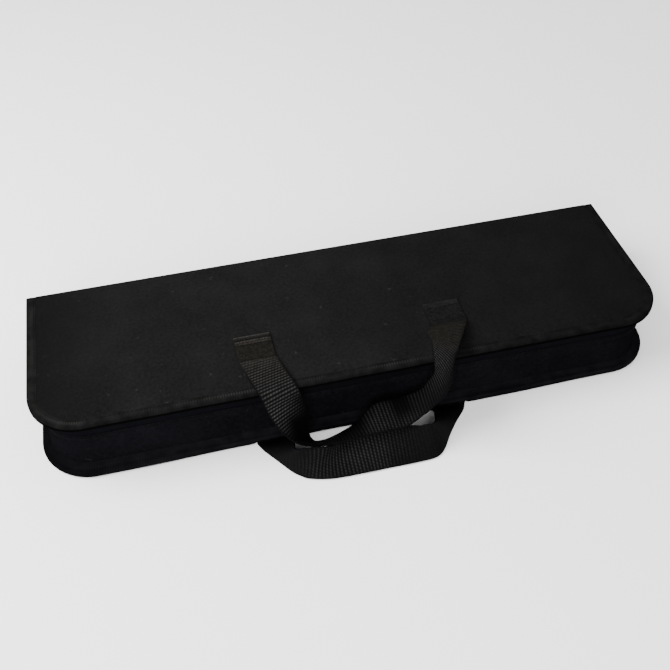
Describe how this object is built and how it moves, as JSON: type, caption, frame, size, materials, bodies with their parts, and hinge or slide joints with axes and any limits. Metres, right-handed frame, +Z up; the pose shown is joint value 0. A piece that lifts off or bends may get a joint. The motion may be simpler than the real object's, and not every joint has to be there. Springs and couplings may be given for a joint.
{
  "type": "music stand carrying case",
  "caption": "Flat zip-round cloth case for carrying a folding music stand: stiff bound lid and base, cloth spine hinge, zip on the other sides and webbing carrying handles.",
  "frame": {"origin": "middle of the base's underside, on the floor", "axes": "+X along the case to its right end, +Y to the spine at the back, +Z up; the handles are at the front, -Y"},
  "size_m": [0.52, 0.2086, 0.0773],
  "materials": {
    "case_cloth": "matt black woven polyester",
    "binding_tape": "black ribbed grosgrain tape",
    "webbing": "black ribbed webbing with a low sheen",
    "lining_cloth": "plain black lining cloth",
    "foam": "dark grey foam sheet",
    "board": "dark stiff plastic sheet",
    "zip_tape": "black woven zip tape",
    "zip_teeth": "black moulded teeth",
    "zip_metal": "nickel-plated metal"
  },
  "bodies": {
    "base": {"base_cover": "case_cloth", "base_padding": "foam", "base_board": "board", "base_lining": "lining_cloth", "base_binding": "binding_tape", "side_wall": "case_cloth", "wall_stiffener": "board", "wall_lining": "lining_cloth", "spine_cover": "case_cloth", "hinge_strip": "case_cloth", "spine_board": "board", "spine_lining": "lining_cloth", "spine_binding": "binding_tape", "zip_tape_lower": "zip_tape", "zip_teeth_lower": "zip_teeth", "zip_stops_lower": "zip_metal", "base_handle_ends": "webbing"},
    "lid": {"lid_cover": "case_cloth", "lid_padding": "foam", "lid_board": "board", "lid_lining": "lining_cloth", "lid_binding": "binding_tape", "zip_tape_upper": "zip_tape", "zip_teeth_upper": "zip_teeth", "zip_stops_upper": "zip_metal", "lid_handle_ends": "webbing"},
    "lid_handle": {"lid_handle_loop": "webbing"},
    "base_handle": {"base_handle_loop": "webbing"},
    "slider_front": {"zip_slider_front": "zip_metal"},
    "pull_front": {"zip_pull_front": "zip_metal"},
    "slider_rear": {"zip_slider_rear": "zip_metal"},
    "pull_rear": {"zip_pull_rear": "zip_metal"}
  },
  "joints": [
    {"name": "lid_hinge", "type": "hinge", "parent": "base", "child": "lid", "pos_m": [0, 0.0785, 0.047], "axis": [-1, 0, 0], "range_deg": [0, 180], "deforming": ["hinge_strip", "zip_teeth_lower", "zip_teeth_upper"]},
    {"name": "lid_handle_fold", "type": "hinge", "parent": "lid", "child": "lid_handle", "pos_m": [0, -0.042, 0.0602], "axis": [-1, 0, 0], "range_deg": [0, 110]},
    {"name": "base_handle_fold", "type": "hinge", "parent": "base", "child": "base_handle", "pos_m": [0, -0.042, 0.0008], "axis": [-1, 0, 0], "range_deg": [-90, 0]},
    {"name": "slider_front_travel", "type": "hinge", "parent": "base", "child": "slider_front", "pos_m": [0.218, -0.0365, 0.047], "axis": [0, 0, -1], "range_deg": [0, 90], "deforming": ["zip_teeth_lower", "zip_teeth_upper"]},
    {"name": "slider_rear_travel", "type": "slide", "parent": "base", "child": "slider_rear", "axis": [0, 1, 0], "range_m": [0, 0.073], "deforming": ["zip_teeth_lower", "zip_teeth_upper"]},
    {"name": "pull_front_swing", "type": "hinge", "parent": "slider_front", "child": "pull_front", "pos_m": [0.2544, -0.0365, 0.047], "axis": [1, 0, 0], "range_deg": [-90, 0]},
    {"name": "pull_rear_swing", "type": "hinge", "parent": "slider_rear", "child": "pull_rear", "pos_m": [0.2544, -0.0235, 0.047], "axis": [1, 0, 0], "range_deg": [0, 90]}
  ]
}
